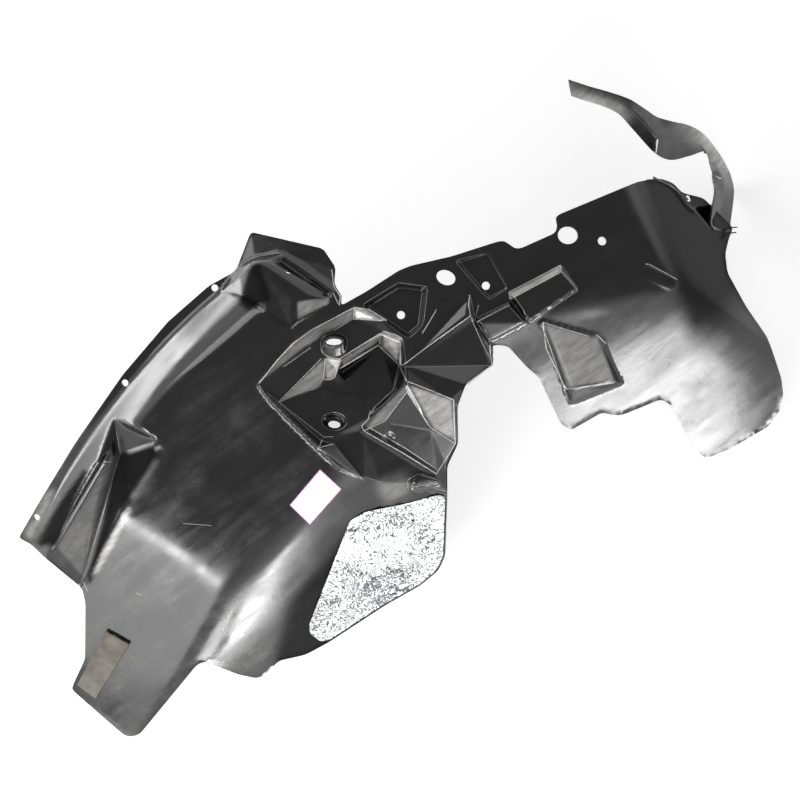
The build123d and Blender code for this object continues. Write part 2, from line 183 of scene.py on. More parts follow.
def skinHeight(x, y, soft=0.001):
    blend = {name: reach * soft for name, reach in shell["blends"].items()}
    run = x - shell["crownX"]
    arch = shell["archRise"] - shell["archRadius"] + np.sqrt(shell["archRadius"] ** 2 - run ** 2)
    rim = shell["rimY"] - (x - shell["rimX"]) ** 2 / (2 * shell["rimRadius"])
    flange = arch - shell["flangeDrop"]
    crown = softLow([arch, flange + shell["riserSlope"] * (rim - y)], blend["riser"])
    crown = -softLow([-crown, -flange], blend["flange"])
    plane = {name: panelHeight(name, x, y) for name in panels}
    front = softLow([crown, softLow([plane["foot"], plane["belly"]], blend["fold"])], blend["crown"])
    front = softLow([front, softLow([plane["foil"], plane["lower"]], blend["crown"])], blend["foil"])
    rear = softLow([softLow([arch, plane["wheel"]], blend["wheel"]), plane["side"]], blend["side"])
    return np.where(x < shell["lobeSplit"], front, rear)


def insideLoop(x, y, loop):
    inside = np.zeros(np.shape(x), bool)
    for (x1, y1), (x2, y2) in zip(loop, loop[1:] + loop[:1]):
        crosses = (y1 > y) != (y2 > y)
        if y1 != y2:
            inside ^= crosses & (x < (x2 - x1) * (y - y1) / (y2 - y1) + x1)
    return inside


# distance of every point from an open path of plan points
def distanceTo(x, y, path):
    nearest = np.full(np.shape(x), 1e9)
    for (x1, y1), (x2, y2) in zip(path, path[1:]):
        dx, dy = x2 - x1, y2 - y1
        t = np.clip(((x - x1) * dx + (y - y1) * dy) / (dx * dx + dy * dy), 0, 1)
        nearest = np.minimum(nearest, np.hypot(x - x1 - t * dx, y - y1 - t * dy))
    return nearest


# distance from an ellipse's centre, counted in half axes
def ellipseReach(x, y, atX, atY, longHalf, shortHalf, turn):
    c, s = math.cos(math.radians(turn)), math.sin(math.radians(turn))
    along = (x - atX) * c + (y - atY) * s
    across = (y - atY) * c - (x - atX) * s
    return np.hypot(along / longHalf, across / shortHalf)


def smoothStep(value, low, high):
    t = np.clip((value - low) / (high - low), 0, 1)
    return t * t * (3 - 2 * t)


def gauss(field, sigma):
    reach = int(3 * sigma) + 1
    taps = np.exp(-0.5 * (np.arange(-reach, reach + 1) / sigma) ** 2)
    taps /= taps.sum()
    for axis in (0, 1):
        field = sum(t * np.roll(field, s, axis) for t, s in zip(taps, range(-reach, reach + 1)))
    return field


def triangleHeight(x, y, a, b, c):
    area = (b[0] - a[0]) * (c[1] - a[1]) - (c[0] - a[0]) * (b[1] - a[1])
    wb = ((x - a[0]) * (c[1] - a[1]) - (c[0] - a[0]) * (y - a[1])) / area
    wc = ((b[0] - a[0]) * (y - a[1]) - (x - a[0]) * (b[1] - a[1])) / area
    inside = (wb >= -0.01) & (wc >= -0.01) & (wb + wc <= 1.01)
    return inside, a[2] + wb * (b[2] - a[2]) + wc * (c[2] - a[2])


def stampFacets(height, detail, x, y, corners, names):
    for facet in names:
        points = [corners[name] for name in facet.split()]
        for second, third in zip(points[1:], points[2:]):
            inside, value = triangleHeight(x, y, points[0], second, third)
            height[inside] = value[inside]
            detail[inside] = 1


# moulded edges with a painted highlight along them: highlight strength and plan places
edgeLines = [
    (1.0, [(-114, 113), (-82, 121), (-56, 125), (-30, 124), (-3, 119), (15, 116), (24, 114)]),
    (1.0, [(24, 114), (34, 103), (42, 81), (15, 105), (24, 114)]),
    (0.5, [(-81, 111), (-43, 109)]),
    (0.6, [(-11, 108), (16, 105)]),
    (0.6, [(-110, 83), (-41, 92)]),
    (0.7, [(-110, 83), (-85, 77), (-68, 70), (-54, 72)]),
    (1.0, [(-38, 89), (-25, 79), (-42, 66), (-48, 67), (-54, 72), (-38, 89)]),
    (1.0, [(-25, 79), (29, 73), (41, 52), (25, 30)]),
    (0.8, [(-31, 71), (19, 65), (24, 32), (19, 11)]),
    (0.8, [(29, 73), (20, 64)]),
    (1.0, [(20, 11), (48, -37), (19, -78), (-19, -92)]),
    (0.8, [(20, 11), (12, 3), (-28, -8), (-54, -2), (-52, 4)]),
    (0.8, [(12, 3), (8, -46), (19, -78)]),
    (0.8, [(-34, 11), (-42, 5), (-52, 4)]),
    (0.9, [(-54, -2), (-35, -48), (-19, -92)]),
    (0.7, [(-47, -2), (-29, -46), (-15, -90)]),
    (0.6, [(-110, 83), (-94, 20), (-85, 14)]),
    (0.9, [(-97, 19), (-106, 14), (-90, 7)]),
    (0.5, [(-106, 14), (-89, -44)]),
    (0.4, [(-93, 2), (-89, -44)]),
    (0.9, [(25, 29), (74, 28), (121, 26)]),
    (0.9, [(135, 45), (127, 37), (121, 26), (119, 19)]),
    (0.8, [(136, 30), (121, 18)]),
    (0.6, [(119, 19), (113, -6), (109, -28)]),
    (1.0, [(118, -14), (106, -33), (71, -32)]),
    (0.35, [(25, 28), (105, -32)]),
    (0.9, [(95, 55), (80, 49), (66, 44)]),
    (0.5, [(-49, -77), (-36, -79), (-23, -97)]),
    (0.5, [(-49, -77), (-55, -85), (-24, -99)]),
    (0.9, [(30, 164), (20, 147), (19, 134), (12, 126)]),
    (0.8, [(15, 142), (12, 127)]),
    (1.0, [(168, 13), (172, 20), (237, 8), (233, 2), (169, 13)]),
    (0.5, [(233, 2), (235, -26), (172, -21)]),
    (0.8, [(122, 16), (164, 8)]),
    (0.9, [(315, -50), (318, -53), (333, -86)]),
    (1.0, [(182, -30), (167, -56), (159, -101), (159, -108)]),
    (0.9, [(159, -108), (207, -135)]),
    (0.8, [(222, -79), (225, -94)]),
    (0.7, [(182, -31), (214, -75)]),
    (0.5, [(387, 21), (396, 5), (402, -12), (405, -23)]),
    (0.5, [(-85, 221), (-71, 220), (-54, 223), (-38, 225), (-33, 223), (-16, 212)]),
]

# faces painted paler than the rest as a painted highlight: strength, blur in mm and plan outline
paintedHighlightFaces = [
    (0.8, 0.7, [(32, 72), (45, 54), (25, 30), (19, 65)]),
    (0.8, 0.7, [(-39, 90), (-23, 77), (-36, 69), (-46, 66), (-51, 71)]),
    (0.6, 0.7, [(-110, 83), (-39, 90), (-51, 73), (-64, 67)]),
    (0.5, 0.7, [(-116, 113), (-84, 120), (-56, 126), (-30, 124), (-4, 118), (23, 115), (16, 105),
      (-15, 110), (-54, 114)]),
    (0.85, 0.7, [(23, 115), (34, 103), (41, 81), (16, 105)]),
    (0.7, 1.5, [(19, 8), (46, -36), (21, -77), (10, -50)]),
    (0.45, 1.0, [(-54, -3), (-27, -8), (13, 3), (17, 9), (-32, 3)]),
    (0.6, 0.7, [(-24, 76), (32, 72), (25, 67), (-27, 70)]),
    (0.6, 0.7, [(-23, 159), (9, 140), (4, 135), (-36, 142)]),
    (0.55, 1.0, [(183, -34), (215, -77), (222, -81), (207, -133), (161, -107)]),
    (0.8, 0.7, [(172, 20), (237, 8), (233, 2), (169, 13)]),
    (0.6, 5, [(-448, 147), (-389, 173), (-375, 160), (-440, 130)]),
    (0.3, 2, [(-302, 155), (-295, 150), (-416, 61), (-420, 112)]),
    (0.9, 1.4, [(-321, 96), (-319, 91), (-365, 70), (-397, 58), (-407, 59), (-374, 77)]),
    (0.5, 2.4, [(-260, 120), (-259, 115), (-310, 96), (-314, 102)]),
    (0.8, 1.0, [(-254, 131), (-246, 126), (-248, 123), (-256, 127)]),
    (0.5, 6, [(-80, -55), (-43, -70), (-55, -93), (-89, -85)]),
]

# faces kept dark as painted shade, with no shine and no dust: strength, blur in mm and plan outline
paintedShadeFaces = [
    (1.0, 1.5, [(-293, 148), (-253, 134), (-259, 117), (-313, 101), (-334, 96), (-413, 53), (-418, 57)]),
    (1.0, 1.5, [(-77, 200), (-43, 224), (-29, 221), (-45, 179), (-74, 185)]),
    (1.0, 1.5, [(-337, 163), (-332, 156), (-419, 113), (-440, 124), (-439, 135), (-383, 152)]),
    (0.9, 5, [(-89, -88), (-126, -78), (-164, -86), (-211, -97), (-248, -106), (-273, -124),
      (-313, -155), (-233, -194), (-185, -208), (-120, -112)]),
]

# small forms that stand on the facets and panels, as plan places in mm
smallForms = {
    "stadium": [(311, -59), (325, -86)], "stadiumHalf": 8.0, "stadiumRise": 1.3, "stadiumEdge": 1.2,
    "rail": [(-56, -1), (-21, -95)], "railGap": 3.6, "railHalf": 0.9, "railRise": 2.6,
    "dimple": (-36, -26, 6.4, 5.6, -38), "dimpleDepth": 2.5,
    "collar": (-18, 98, 13.2, 7.4, -36), "collarDrop": (-5.5, -7.0), "collarRise": 9.0,
    "sink": (-74, 27, 14.0, 9.5, -44), "sinkDepth": 9.0,
    "rib": [(379, 24), (389, 17), (396, 7), (399, -4), (399, -16), (399, -28), (402, -38)],
    "ribHalf": 2.4, "ribRise": 4.0,
    "lump": [(-44, -81), (-33, -82), (-20, -99), (-24, -104), (-50, -92)], "lumpRise": 4.0,
}


def stampSmallForms(height, detail, x, y):
    form = smallForms
    spread = distanceTo(x, y, form["stadium"])
    half = form["stadiumHalf"]
    height += form["stadiumRise"] * (1 - smoothStep(spread, half - form["stadiumEdge"], half))
    detail[spread < half + 3] = 1
    (x1, y1), (x2, y2) = form["rail"]
    length = math.hypot(x2 - x1, y2 - y1)
    offX, offY = -(y2 - y1) / length * form["railGap"], (x2 - x1) / length * form["railGap"]
    for k in (0, 1):
        path = [(x1 + offX * k, y1 + offY * k), (x2 + offX * k, y2 + offY * k)]
        spread = distanceTo(x, y, path)
        height += form["railRise"] * (1 - smoothStep(spread, 0.3, form["railHalf"] * 2))
        detail[spread < 5] = 1
    reach = ellipseReach(x, y, *form["dimple"])
    height -= form["dimpleDepth"] * (1 - smoothStep(reach, 0.7, 1.05))
    collarX, collarY, longHalf, shortHalf, turn = form["collar"]
    rise = np.zeros(x.shape)
    for k in np.linspace(0, 1, 8):
        atX, atY = collarX + form["collarDrop"][0] * k, collarY + form["collarDrop"][1] * k
        reach = ellipseReach(x, y, atX, atY, longHalf, shortHalf, turn)
        rise = np.maximum(rise, form["collarRise"] * (1 - 0.75 * k) * (1 - smoothStep(reach, 0.92, 1.1)))
    height += rise
    reach = ellipseReach(x, y, *form["sink"])
    height -= form["sinkDepth"] * (1 - smoothStep(reach, 0.55, 1.05))
    spread = distanceTo(x, y, form["rib"])
    height += form["ribRise"] * (1 - smoothStep(spread, 0.5, form["ribHalf"]))
    detail[spread < 10] = 1
    inside = insideLoop(x, y, form["lump"])
    height[inside] += form["lumpRise"]


def stampPads(height, detail, x, y):
    floor = shell["archRise"] - shell["padDepth"]
    for loop in padOutlines:
        spread = distanceTo(x, y, loop + loop[:1])
        spread = np.where(insideLoop(x, y, loop), -spread, spread)
        wall = floor + shell["padSlope"] * np.maximum(spread + 1.5, 0)
        near = spread < 12
        height[near] = np.minimum(height[near], wall[near])
        detail[spread < 6] = 1


def markFaces(x, y, faces):
    marked = np.zeros(x.shape)
    for strength, blur, loop in faces:
        marked = np.maximum(marked, strength * gauss(insideLoop(x, y, loop).astype(float), blur))
    return marked


def makeMaps():
    step = shell["raster"]
    x, y = np.meshgrid(np.arange(shell["low"][0], shell["high"][0], step),
                       np.arange(shell["low"][1], shell["high"][1], step))
    height = skinHeight(x, y, 1.0)
    wave = gauss(random.normal(size=x.shape), shell["waveLength"])
    height += shell["waveHeight"] * wave / wave.std()
    detail = np.zeros(x.shape)
    stampPads(height, detail, x, y)
    deep = {name: (a, b, shell["archRise"] - depth) for name, (a, b, depth) in corner.items()}
    stampFacets(height, detail, x, y, deep, facets)
    plain = {name: (a, b, float(skinHeight(np.array(float(a)), np.array(float(b)))) + rise)
             for name, (a, b, rise) in reliefCorner.items()}
    for names in (boss, pocket, scoop, upperBar, lowerBar, bracket):
        stampFacets(height, detail, x, y, plain, names)
    stampSmallForms(height, detail, x, y)
    mask = insideLoop(x, y, planOutline).astype(float)

    def blurInside(field, sigma):
        weight = gauss(mask, sigma)
        return np.where(weight > 0.02, gauss(field * mask, sigma) / np.maximum(weight, 1e-6), field)

    soft = blurInside(height, shell["creaseBlur"])
    softer = blurInside(height, shell["bossBlur"])
    share = sum(1 - smoothStep(np.hypot(x - atX, y - atY), reach * 0.6, reach)
                for atX, atY, reach in shell["softSpots"]).clip(0, 1)
    height = soft + (softer - soft) * share
    # painted shade: points that lie below their surroundings are darkened as creases
    bend = height - blurInside(height, shell["creaseShadeReach"])
    # more grey on the foot side, for real dust and painted sheen
    fold = x + shell["foldPlace"] + shell["foldLean"] * y
    # faces with a painted highlight and faces kept dark as painted shade
    pale, shadeMask = markFaces(x, y, paintedHighlightFaces), markFaces(x, y, paintedShadeFaces)
    # the side panel also gets painted shade
    side = smoothStep(x + shell["sideLean"] * y, *shell["sideTurn"]) * smoothStep(y, *shell["sideEnd"])
    return {
        "height": height, "detail": gauss(detail, shell["detailBlur"]),
        "paintedHighlight": pale, "paintedCreaseShade": np.clip(-bend / shell["creaseShadeDepth"], 0, 1),
        "dustAndSheen": (1 - smoothStep(fold, *shell["dustAndSheenEdge"])) * (1 - shadeMask),
        "paintedShade": np.maximum(shell["sidePaintedShade"] * side, shadeMask),
    }


def readMap(field, x, y):
    step = shell["raster"]
    u = np.clip((x - shell["low"][0]) / step, 0, field.shape[1] - 1.001)
    v = np.clip((y - shell["low"][1]) / step, 0, field.shape[0] - 1.001)
    i, j = u.astype(int), v.astype(int)
    fu, fv = u - i, v - j
    top = field[j, i] * (1 - fu) + field[j, i + 1] * fu
    return top * (1 - fv) + (field[j + 1, i] * (1 - fu) + field[j + 1, i + 1] * fu) * fv


def roundLoop(loop, cut=5.0, parts=4):
    points = []
    for before, at, after in zip(loop[-1:] + loop[:-1], loop, loop[1:] + loop[:1]):
        before, at, after = Vector(before), Vector(at), Vector(after)
        start = at + (before - at) * min(0.45, cut / (before - at).length)
        end = at + (after - at) * min(0.45, cut / (after - at).length)
        for k in range(parts + 1):
            t = k / parts
            points.append(start.lerp(at, t).lerp(at.lerp(end, t), t))
    return points


def spacedLoop(points, spacing):
    result = []
    for a, b in zip(points, points[1:] + points[:1]):
        count = max(1, round((b - a).length / spacing))
        result += [a.lerp(b, k / count) for k in range(count)]
    return result


def ellipseLoop(atX, atY, longHalf, shortHalf, turn):
    count = max(18, round(math.pi * (longHalf + shortHalf) / 1.6))
    c, s = math.cos(math.radians(turn)), math.sin(math.radians(turn))
    points = []
    for k in range(count):
        angle = 2 * math.pi * k / count
        a, b = longHalf * math.cos(angle), shortHalf * math.sin(angle)
        points.append(Vector((atX + a * c - b * s, atY + a * s + b * c)))
    return points


def hexGrid(pitch, low, high):
    gridX, gridY = [], []
    for index, y in enumerate(np.arange(low[1], high[1], pitch * 0.866)):
        xs = np.arange(low[0] + (index % 2) * pitch / 2, high[0], pitch)
        gridX.append(xs)
        gridY.append(np.full(xs.shape, y))
    return np.concatenate(gridX), np.concatenate(gridY)


# triangles over a plan region with holes, its inner points as given
def fillLoops(loops, outer, openings, inner):
    points, edges = [], []
    for loop in loops:
        first = len(points)
        points += loop
        edges += [(first + k, first + (k + 1) % len(loop)) for k in range(len(loop))]
    points += [Vector(p) for p in inner]
    verts, _, faces, _, _, _ = geometry.delaunay_2d_cdt(points, edges, [], 0, 1e-4)
    plan = np.array([tuple(v) for v in verts])
    faces = np.array([tuple(f) for f in faces])
    centre = plan[faces].mean(axis=1)
    keep = insideLoop(centre[:, 0], centre[:, 1], outer)
    for hole in openings:
        keep &= ellipseReach(centre[:, 0], centre[:, 1], *hole) > 0.99
    faces = faces[keep]
    a, b, c = plan[faces[:, 0]], plan[faces[:, 1]], plan[faces[:, 2]]
    turned = (b[:, 0] - a[:, 0]) * (c[:, 1] - a[:, 1]) < (c[:, 0] - a[:, 0]) * (b[:, 1] - a[:, 1])
    faces[turned] = faces[turned][:, ::-1]
    return plan, faces


def makeSheet(maps):
    loops = [spacedLoop(roundLoop(planOutline), 2.6)]
    loops += [ellipseLoop(*hole) for hole in holes]
    edge = [tuple(p) for p in loops[0]]
    inner = []
    for pitch, fine in ((shell["coarse"], False), (shell["fine"], True)):
        gridX, gridY = hexGrid(pitch, shell["low"], shell["high"])
        detailed = readMap(maps["detail"], gridX, gridY) > 0.12
        keep = insideLoop(gridX, gridY, edge) & (detailed == fine)
        keep &= distanceTo(gridX, gridY, edge + edge[:1]) > pitch * 0.4
        for atX, atY, longHalf, shortHalf, turn in holes:
            keep &= ellipseReach(gridX, gridY, atX, atY, longHalf + 1, shortHalf + 1, turn) > 1
        inner += list(zip(gridX[keep], gridY[keep]))
    return fillLoops(loops, edge, holes, inner)


def meshObject(name, place, faces, material, marks=None):
    place = (np.asarray(place) + np.array(planShift)) * mm
    mesh = bpy.data.meshes.new(name)
    mesh.from_pydata([tuple(p) for p in place], [], [tuple(int(i) for i in f) for f in faces])
    for key, values in (marks or {}).items():
        layer = mesh.attributes.new(key, "FLOAT", "POINT")
        layer.data.foreach_set("value", np.asarray(values, np.float32))
    mesh.materials.append(material)
    piece = bpy.data.objects.new(name, mesh)
    bpy.context.scene.collection.objects.link(piece)
    work = bmesh.new()
    work.from_mesh(mesh)
    bmesh.ops.delete(work, geom=[v for v in work.verts if not v.link_faces], context="VERTS")
    for edge in work.edges:
        edge.smooth = not edge.is_boundary
    for face in work.faces:
        face.smooth = True
    work.to_mesh(mesh)
    work.free()
    return piece


def addWall(piece, thickness):
    wall = piece.modifiers.new("wall", "SOLIDIFY")
    wall.thickness = thickness * mm
    wall.offset = -1


def smoothPath(points, count):
    points = np.array(points, float)
    padded = np.vstack([2 * points[0] - points[1], points, 2 * points[-1] - points[-2]])
    result = []
    for t in np.linspace(0, len(points) - 1, count):
        k = min(int(t), len(points) - 2)
        f = t - k
        a, b, c, d = padded[k:k + 4]
        result.append(0.5 * (2 * b + (c - a) * f + (2 * a - 5 * b + 4 * c - d) * f ** 2
                             + (3 * b - a - 3 * c + d) * f ** 3))
    return np.array(result)


# the hooked rim strip: its outer edge, fold and inner edge, and how strongly both edges are painted pale
# there as a painted highlight
strip = {
    "outer": [
        (376, 170, 175), (390, 149, 176), (405, 129, 170), (418, 109, 166), (426, 89, 155),
        (432, 74, 143), (445, 57, 134), (457, 43, 122), (465, 25, 104), (468, -1, 70),
        (468, -20, 38), (466, -34, 14), (458, -50, 3), (432, -74, 30), (424, -82, 44),
    ],
    "fold": [
        (371, 161, 176), (384, 144, 177), (397, 126, 173), (409, 106, 169), (415, 83, 160),
        (418, 56, 146), (431, 46, 132), (441, 34, 120), (453, 22, 106), (456, 1, 80),
        (457, -16, 52), (454, -31, 32), (445, -45, 26), (424, -62, 44), (416, -76, 57),
    ],
    "inner": [
        (367, 153, 174), (377, 138, 171), (388, 123, 164), (398, 104, 157), (401, 78, 146),
        (405, 44, 130), (416, 26, 108), (437, 16, 100), (455, 9, 86), (452, -4, 64),
        (450, -12, 48), (447, -21, 40), (439, -36, 44), (412, -58, 70), (408, -68, 75),
    ],
    "outerHighlight": [0.3, 0.2, 0.15, 0.1, 0.2, 0.3, 0.45, 0.6, 0.95, 0.9, 0.8, 0.5, 0.25, 0.1, 0],
    "innerHighlight": [1, 1, 0.95, 0.6, 0.1, 0, 0, 0, 0.2, 0.4, 0.4, 0.3, 0.2, 0, 0],
    "rows": 220, "lanes": 7,
}


def makeStrip():
    rows = strip["rows"]
    outer, fold, inner = (smoothPath(strip[key], rows) for key in ("outer", "fold", "inner"))
    t = np.linspace(0, 1, strip["lanes"])[:, None, None]
    lower = inner * (1 - t) + fold * t
    upper = fold * (1 - t[1:]) + outer * t[1:]
    place = np.concatenate([lower, upper]).transpose(1, 0, 2)
    width = place.shape[1]
    place = place.reshape(-1, 3)
    faces = []
    for r in range(rows - 1):
        for k in range(width - 1):
            a = r * width + k
            faces += [(a, a + width + 1, a + 1), (a, a + width, a + width + 1)]
    # painted highlight on the strip, blended from its inner to its outer edge
    station = np.linspace(0, len(strip["outer"]) - 1, rows)
    tones = (strip["outerHighlight"], strip["innerHighlight"])
    outerLight, innerLight = (np.interp(station, range(len(tone)), tone) for tone in tones)
    share = np.linspace(0, 1, width)
    light = innerLight[:, None] * (1 - share) + outerLight[:, None] * share
    return place, np.array(faces), light.ravel()


edgeBead = {
    "across": [-0.672, -0.336, 0.0, 0.336, 0.672], "lift": [-0.2, 0.28, 0.4, 0.28, -0.2],
    "step": 2.0,
}


# small rounded ridges along the sharp edges, laid on the surface
def makeBeads(lines, surface):
    across, lift = np.array(edgeBead["across"]), np.array(edgeBead["lift"])
    lanes = len(across)
    place, faces, strength = [], [], []
    for bright, line in lines:
        line = np.array(line, float)
        for start, end in zip(line, line[1:]):
            length = np.hypot(*(end - start))
            rows = max(2, int(length / edgeBead["step"]) + 1)
            side = np.array([start[1] - end[1], end[0] - start[0]]) / length
            spine = start + (end - start) * np.linspace(0, 1, rows)[:, None]
            points = spine[:, None, :] + across[None, :, None] * side
            height = readMap(surface, spine[:, 0], spine[:, 1])[:, None] + lift
            first = sum(len(p) for p in place)
            place.append(np.concatenate([points, height[:, :, None]], axis=2).reshape(-1, 3))
            strength.append(np.full(rows * lanes, bright))
            for r in range(rows - 1):
                for k in range(lanes - 1):
                    a = first + r * lanes + k
                    faces += [(a, a + lanes, a + lanes + 1), (a, a + lanes + 1, a + 1)]
    place, faces = np.vstack(place), np.array(faces)
    a, b, c = (place[faces[:, k], :2] for k in range(3))
    turned = (b[:, 0] - a[:, 0]) * (c[:, 1] - a[:, 1]) < (c[:, 0] - a[:, 0]) * (b[:, 1] - a[:, 1])
    faces[turned] = faces[turned][:, ::-1]
    return place, faces, np.concatenate(strength)


# two thin pins that stand out at the side, from start to end
pins = {"lines": [[(420, -75), (433, -83)], [(415, -80), (428, -87)]], "half": 0.8}


def makePins(surface):
    place, faces = [], []
    for (startX, startY), (endX, endY) in pins["lines"]:
        half, first = pins["half"], len(place)
        level = float(readMap(surface, np.array([startX]), np.array([startY]))[0])
        place += [(startX, startY - half, level), (startX, startY + half, level),
                  (endX, endY + half, level), (endX, endY - half, level)]
        faces += [(first, first + 3, first + 1), (first + 1, first + 3, first + 2)]
    return np.array(place), np.array(faces)


# shader nodes: a node with its inputs given as values or as outputs of other nodes
def wire(tree, kind, inputs=None, output=0, **settings):
    node = tree.nodes.new(kind)
    for key, value in settings.items():
        setattr(node, key, value)
    for key, value in (inputs or {}).items():
        if isinstance(value, bpy.types.NodeSocket):
            tree.links.new(value, node.inputs[key])
        else:
            node.inputs[key].default_value = value
    return node.outputs[output]


def mapRange(tree, value, fromLow, fromHigh, low, high):
    return wire(tree, "ShaderNodeMapRange", {0: value, 1: fromLow, 2: fromHigh, 3: low, 4: high})


def noise(tree, vector, scale, detail=3.0, roughness=0.55, distortion=0.0):
    return wire(tree, "ShaderNodeTexNoise", {"Vector": vector, "Scale": scale, "Detail": detail,
                                             "Roughness": roughness, "Distortion": distortion})


def math2(tree, operation, a, b):
    return wire(tree, "ShaderNodeMath", {0: a, 1: b}, operation=operation)


def mixColor(tree, factor, a, b):
    return wire(tree, "ShaderNodeMix", {0: factor, 6: a, 7: b}, output=2, data_type="RGBA")


def stretched(tree, place, scale, turn=0.0):
    return wire(tree, "ShaderNodeMapping", {"Vector": place, "Scale": scale,
                                            "Rotation": (0, 0, math.radians(turn))})


def mark(tree, name):
    return wire(tree, "ShaderNodeAttribute", output=2, attribute_name=name)


def newMaterial(name):
    material = bpy.data.materials.new(name)
    material.use_nodes = True
    tree = material.node_tree
    shader = tree.nodes["Principled BSDF"]
    place = wire(tree, "ShaderNodeTexCoord", output=3)
    return material, tree, shader, place


def setShader(tree, shader, values):
    for key, value in values.items():
        if isinstance(value, bpy.types.NodeSocket):
            tree.links.new(value, shader.inputs[key])
        else:
            shader.inputs[key].default_value = value


# 1 along one straight scratch between two plan points, in metres
def scratchMask(tree, place, start, end, half):
    length = math.dist(start, end)
    along = ((end[0] - start[0]) / length, (end[1] - start[1]) / length, 0)
    offset = wire(tree, "ShaderNodeVectorMath", {0: place, 1: (*start, 0)}, operation="SUBTRACT")
    flat = wire(tree, "ShaderNodeVectorMath", {0: offset, 1: (1, 1, 0)}, operation="MULTIPLY")
    run = wire(tree, "ShaderNodeVectorMath", {0: flat, 1: along}, output=1, operation="DOT_PRODUCT")
    run = wire(tree, "ShaderNodeClamp", {0: run, 1: 0.0, 2: length})
    foot = wire(tree, "ShaderNodeVectorMath", {0: along, "Scale": run}, operation="SCALE")
    gap = wire(tree, "ShaderNodeVectorMath", {0: flat, 1: foot}, output=1, operation="DISTANCE")
    return mapRange(tree, gap, half * 0.5, half, 1.0, 0.0)


plasticLook = {
    # the second colour is real dust and, on the foot side, also painted sheen; the third is the pale
    # paint of painted highlights
    "black": (0.009, 0.009, 0.0095, 1), "dustAndSheen": (0.13, 0.125, 0.115, 1), "edge": (0.6, 0.59, 0.58, 1),
    # scuffs are real wear; the near-black colour after them is painted shade for creases
    "scuff": (0.34, 0.33, 0.31, 1), "creaseShadeColour": (0.003, 0.003, 0.003, 1), "shine": 0.62,
    # start, end and half width in metres
    "scratches": [
        ((-0.261, 0.059), (-0.237, 0.0374), 0.0003),
        ((-0.281, -0.0549), (-0.3036, -0.0666), 0.0009),
        ((-0.291, 0.172), (-0.284, 0.166), 0.0004),
        ((-0.356, 0.029), (-0.352, 0.024), 0.0004),
        ((-0.3975, 0.077), (-0.4, 0.066), 0.0004),
    ],
}


def blackPlastic():
    material, tree, shader, place = newMaterial("blackPlastic")
    look = plasticLook
    flow = noise(tree, stretched(tree, place, (7, 42, 7), -52), 1.0, 4.0, 0.6, 0.4)
    mottle = noise(tree, place, 26.0, 5.0, 0.62, 0.3)
    speck = noise(tree, place, 520.0, 2.0, 0.6)
    paintedHighlight, paintedCreaseShade = mark(tree, "paintedHighlight"), mark(tree, "paintedCreaseShade")
    dusty = mapRange(tree, math2(tree, "MULTIPLY", flow, mottle), 0.2, 0.42, 0.0, 1.0)
    dusty = math2(tree, "MULTIPLY", dusty, mapRange(tree, speck, 0.35, 0.7, 0.35, 1.0))
    # dust over the whole shell, and more grey on the foot side that stands for real dust and painted
    # sheen
    dirtAndSheen = math2(tree, "MULTIPLY", dusty, mapRange(tree, mark(tree, "dustAndSheen"), 0.0, 1.0, 0.06, 0.5))
    base = mixColor(tree, dirtAndSheen, look["black"], look["dustAndSheen"])
    # painted highlight: marked faces, edges and strip take the pale colour, broken up by streaks
    streak = noise(tree, stretched(tree, place, (40, 160, 80), 38), 1.0, 3.0, 0.6, 0.5)
    streak = mapRange(tree, streak, 0.3, 0.62, 0.5, 0.95)
    paintedHighlight = math2(tree, "MULTIPLY", math2(tree, "POWER", paintedHighlight, 1.6), streak)
    base = mixColor(tree, paintedHighlight, base, look["edge"])
    # painted shade darkens the creases
    base = mixColor(tree, math2(tree, "MULTIPLY", paintedCreaseShade, 0.7), base, look["creaseShadeColour"])
    cells = stretched(tree, place, (90, 9, 40), 24)
    hairline = wire(tree, "ShaderNodeTexVoronoi", {"Vector": cells, "Scale": 1.0},
                    feature="DISTANCE_TO_EDGE")
    hairline = mapRange(tree, hairline, 0.0, 0.012, 1.0, 0.0)
    patches = mapRange(tree, noise(tree, place, 9.0), 0.6, 0.75, 0.0, 0.25)
    lines = math2(tree, "MULTIPLY", hairline, patches)
    for start, end, half in look["scratches"]:
        lines = math2(tree, "MAXIMUM", lines, scratchMask(tree, place, start, end, half))
    base = mixColor(tree, lines, base, look["scuff"])
    rough = mapRange(tree, flow, 0.3, 0.7, 0.11, 0.2)
    rough = math2(tree, "ADD", rough, math2(tree, "MULTIPLY", dusty, 0.14))
    rough = math2(tree, "ADD", rough, math2(tree, "MULTIPLY", lines, 0.3))
    ripple = math2(tree, "ADD", math2(tree, "MULTIPLY", mottle, 0.6), math2(tree, "MULTIPLY", flow, 0.5))
    ripple = math2(tree, "ADD", ripple, math2(tree, "MULTIPLY", speck, 0.04))
    bump = wire(tree, "ShaderNodeBump", {"Height": ripple, "Strength": 0.2, "Distance": 0.001})
    # painted shade: the marked faces and the side panel lose their shine
    shine = mapRange(tree, mark(tree, "paintedShade"), 0.0, 1.0, look["shine"], 0.0)
    setShader(tree, shader, {"Base Color": base, "Roughness": rough, "Normal": bump,
                             "Specular IOR Level": shine})
    return material


print("maps")
maps = makeMaps()
plan, faces = makeSheet(maps)
print("sheet", len(plan), "points", len(faces), "faces")
sheet = np.column_stack([plan, readMap(maps["height"], plan[:, 0], plan[:, 1])])
stripPlace, stripFaces, stripLight = makeStrip()
beadPlace, beadFaces, beadHighlight = makeBeads(edgeLines, maps["height"])
pinPlace, pinFaces = makePins(maps["height"])
added = len(stripPlace) + len(beadPlace) + len(pinPlace)
marks = {key: np.concatenate([readMap(maps[key], plan[:, 0], plan[:, 1]), np.zeros(added)])
         for key in ("paintedHighlight", "paintedCreaseShade", "dustAndSheen", "paintedShade")}
